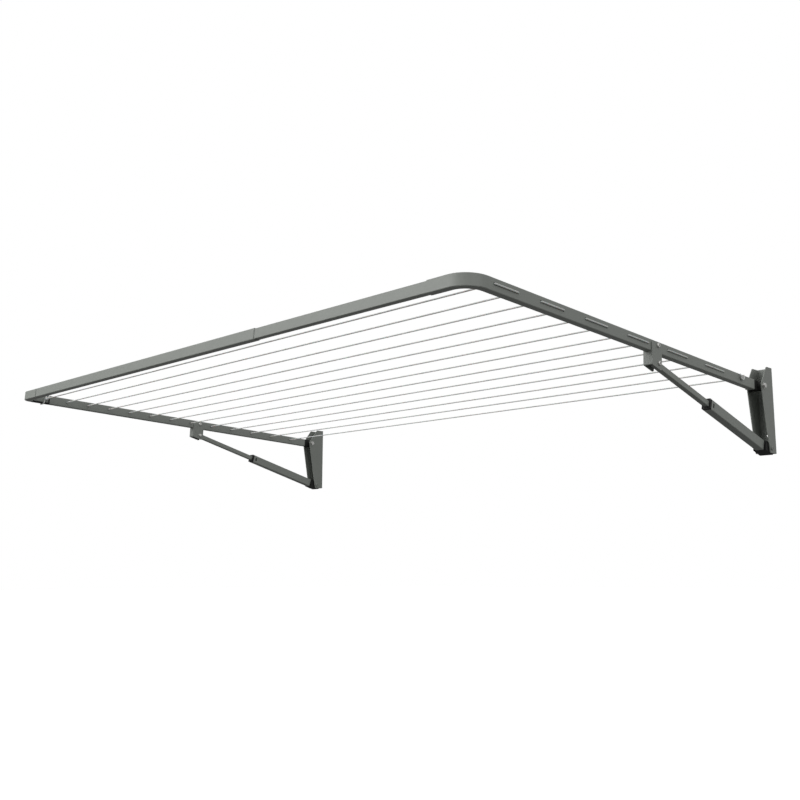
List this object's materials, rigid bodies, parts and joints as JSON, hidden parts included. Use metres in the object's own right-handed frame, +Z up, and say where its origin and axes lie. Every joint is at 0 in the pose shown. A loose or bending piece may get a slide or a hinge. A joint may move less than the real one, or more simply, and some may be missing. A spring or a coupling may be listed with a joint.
{
  "type": "wall mounted drying rack",
  "caption": "Rectangular tube frame strung with drying line, hinged on wall brackets and held level by telescopic struts; folds down flat against the wall.",
  "frame": {"origin": "centre of the four wall-screw holes, on the wall face", "axes": "+Z up, +Y into the wall, +X along the front bar; the rack reaches out along -Y"},
  "size_m": [2.1425, 1.3491, 0.2775],
  "materials": {
    "frame_coat": "satin powder coat",
    "bracket_coat": "satin powder coat",
    "nylon": "matte moulded",
    "fastener": "bright zinc",
    "line": "smooth PVC"
  },
  "bodies": {
    "wall_mount": {"wall_bracket_right": "bracket_coat", "wall_bracket_left": "bracket_coat", "arm_pivot_bolts": "fastener", "arm_pivot_nuts": "fastener", "arm_pivot_washers": "fastener", "strut_foot_pins": "bracket_coat"},
    "frame": {"right_arm_tube": "frame_coat", "left_arm_tube": "frame_coat", "left_elbow": "frame_coat", "left_elbow_insert": "nylon", "front_bar_outer_tube": "frame_coat", "front_bar_inner_tube": "frame_coat", "frame_rivets": "frame_coat", "arm_knuckle_right": "nylon", "arm_knuckle_left": "nylon", "strut_bracket_right": "frame_coat", "strut_bracket_left": "frame_coat", "strut_bracket_bolts": "fastener", "strut_bracket_nuts": "fastener", "strut_pivot_bolts": "fastener", "strut_pivot_nuts": "fastener", "drying_line_spans": "line", "drying_line_turns_right": "line", "drying_line_turns_left": "line", "drying_line_start": "line", "drying_line_end": "line"},
    "strut_upper_right": {"strut_inner_tube_right": "frame_coat", "strut_inner_guide_right": "nylon", "strut_pivot_bush_right": "nylon"},
    "strut_lower_right": {"strut_outer_tube_right": "frame_coat", "strut_collar_right": "nylon", "strut_shoe_right": "nylon"},
    "strut_upper_left": {"strut_inner_tube_left": "frame_coat", "strut_inner_guide_left": "nylon", "strut_pivot_bush_left": "nylon"},
    "strut_lower_left": {"strut_outer_tube_left": "frame_coat", "strut_collar_left": "nylon", "strut_shoe_left": "nylon"}
  },
  "joints": [
    {"name": "frame_fold", "type": "hinge", "parent": "wall_mount", "child": "frame", "pos_m": [0, -0.064, 0.05], "axis": [1, 0, 0], "range_deg": [0, 92.75]},
    {"name": "strut_swing_right", "type": "hinge", "parent": "frame", "child": "strut_upper_right", "pos_m": [1.04, -0.63236, 0.03525], "axis": [1, 0, 0], "range_deg": [0, 14.58]},
    {"name": "strut_slide_right", "type": "slide", "parent": "strut_upper_right", "child": "strut_lower_right", "axis": [0, -0.9632, 0.2688], "range_m": [0, 0.2377]},
    {"name": "strut_swing_left", "type": "hinge", "parent": "frame", "child": "strut_upper_left", "pos_m": [-1.04, -0.63236, 0.03525], "axis": [1, 0, 0], "range_deg": [0, 14.58]},
    {"name": "strut_slide_left", "type": "slide", "parent": "strut_upper_left", "child": "strut_lower_left", "axis": [0, -0.9632, 0.2688], "range_m": [0, 0.2377]}
  ],
  "couplings": [
    {"joint": "strut_swing_right", "follows": "frame_fold", "ratio": 0.1561},
    {"joint": "strut_slide_right", "follows": "frame_fold", "m_per_rad": 0.14647},
    {"joint": "strut_swing_left", "follows": "frame_fold", "ratio": 0.1561},
    {"joint": "strut_slide_left", "follows": "frame_fold", "m_per_rad": 0.14647}
  ]
}
